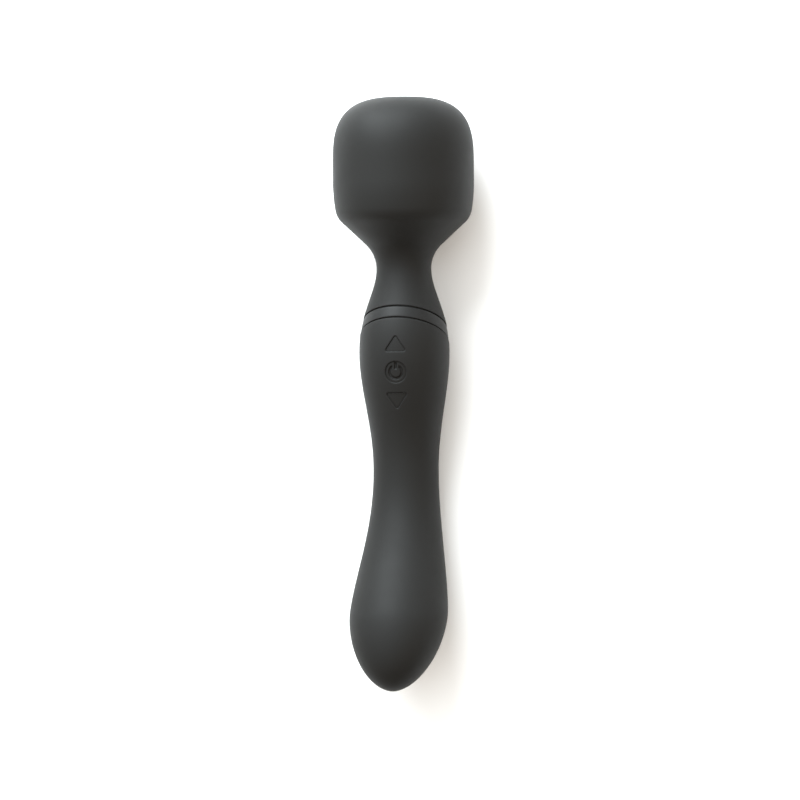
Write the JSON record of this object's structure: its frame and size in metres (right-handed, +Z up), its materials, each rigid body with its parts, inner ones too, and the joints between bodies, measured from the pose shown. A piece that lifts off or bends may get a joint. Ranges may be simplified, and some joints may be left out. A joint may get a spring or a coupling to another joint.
{
  "type": "wand massager",
  "caption": "Cordless hand-held wand massager: a soft domed head on a springy neck and a bent, waisted handle with three press keys.",
  "frame": {"origin": "middle of the underside of the bounding box: the wand lies on its back, keys up", "axes": "+Y from the handle's rounded end towards the head, +Z up, on the side of the keys, +X to the right seen with the head away from the viewer"},
  "size_m": [0.0566, 0.239, 0.0581],
  "materials": {
    "black_silicone": "soft matte silicone",
    "satin_black_plastic": "satin",
    "black_plastic": "matte",
    "grey_nylon": "matte",
    "white_plastic": "moulded",
    "cell_wrap": "shrink wrap",
    "nickel": "satin",
    "board_green": "solder mask",
    "chip_black": "matte",
    "switch_metal": "tinned",
    "brass": "turned",
    "spring_steel": "drawn",
    "shaft_steel": "ground",
    "cast_weight": "sintered",
    "ferrite": "sintered",
    "copper": "enamelled winding",
    "zinc_plate": "zinc plated",
    "grey_rubber": "matte",
    "red_wire": "insulation",
    "blue_wire": "insulation"
  },
  "bodies": {
    "handle": {"neck_skirt": "black_silicone", "collar_ring": "satin_black_plastic", "handle_sleeve": "black_silicone", "left_shell": "black_plastic", "right_shell": "black_plastic", "shell_screws": "zinc_plate", "neck_post": "grey_nylon", "battery_cell": "cell_wrap", "battery_tabs": "nickel", "battery_leads": "red_wire", "circuit_board": "board_green", "board_chips": "chip_black", "wire_connectors": "white_plastic", "tact_switches": "switch_metal", "charging_socket": "black_plastic", "socket_pins": "brass", "tail_motor_can": "zinc_plate", "tail_motor_bush": "brass", "tail_motor_end_cap": "white_plastic", "tail_motor_magnets": "ferrite", "tail_motor_sleeve": "grey_rubber", "tail_motor_leads": "blue_wire"},
    "neck_link": {"neck_sleeve": "black_silicone", "neck_spring": "spring_steel", "head_motor_leads": "red_wire"},
    "head": {"head_cover": "black_silicone", "head_cup": "grey_nylon", "head_lid": "grey_nylon", "motor_plate": "zinc_plate", "plate_screws": "zinc_plate", "motor_screws": "zinc_plate", "head_motor_can": "zinc_plate", "head_motor_bush": "brass", "head_motor_end_cap": "white_plastic", "head_motor_magnets": "ferrite", "head_motor_sleeve": "grey_rubber"},
    "head_rotor": {"head_motor_shaft": "shaft_steel", "head_motor_armature": "copper", "head_weight": "cast_weight"},
    "tail_rotor": {"tail_motor_shaft": "shaft_steel", "tail_motor_armature": "copper", "tail_weight": "cast_weight"},
    "up_button": {"up_key": "black_silicone", "up_plunger": "white_plastic"},
    "power_button": {"power_key": "black_silicone", "power_plunger": "white_plastic"},
    "down_button": {"down_key": "black_silicone", "down_plunger": "white_plastic"}
  },
  "joints": [
    {"name": "neck_pitch", "type": "hinge", "parent": "handle", "child": "neck_link", "pos_m": [0, 0.0448, 0.02428], "axis": [1, 0, 0], "range_deg": [-15, 15], "stiffness_Nm_per_rad": 2, "deforming": ["neck_sleeve", "neck_spring", "head_motor_leads"]},
    {"name": "neck_sway", "type": "hinge", "parent": "neck_link", "child": "head", "pos_m": [0, 0.05574, 0.02544], "axis": [0, -0.1057, 0.9944], "range_deg": [-15, 15], "stiffness_Nm_per_rad": 2, "deforming": ["neck_sleeve", "neck_spring", "head_motor_leads"]},
    {"name": "head_motor_spin", "type": "hinge", "parent": "head", "child": "head_rotor", "pos_m": [0, 0.0985, 0.02999], "axis": [0, 0.9944, 0.1057], "continuous": true},
    {"name": "tail_motor_spin", "type": "hinge", "parent": "handle", "child": "tail_rotor", "pos_m": [0, -0.09152, 0.02485], "axis": [0, -0.9616, 0.2745], "continuous": true},
    {"name": "up_press", "type": "slide", "parent": "handle", "child": "up_button", "axis": [0, 0.1057, -0.9944], "range_m": [0, 0.0004], "stiffness_N_per_m": 1500},
    {"name": "power_press", "type": "slide", "parent": "handle", "child": "power_button", "axis": [0, 0.1057, -0.9944], "range_m": [0, 0.0004], "stiffness_N_per_m": 1500},
    {"name": "down_press", "type": "slide", "parent": "handle", "child": "down_button", "axis": [0, 0.1057, -0.9944], "range_m": [0, 0.0004], "stiffness_N_per_m": 1500}
  ]
}
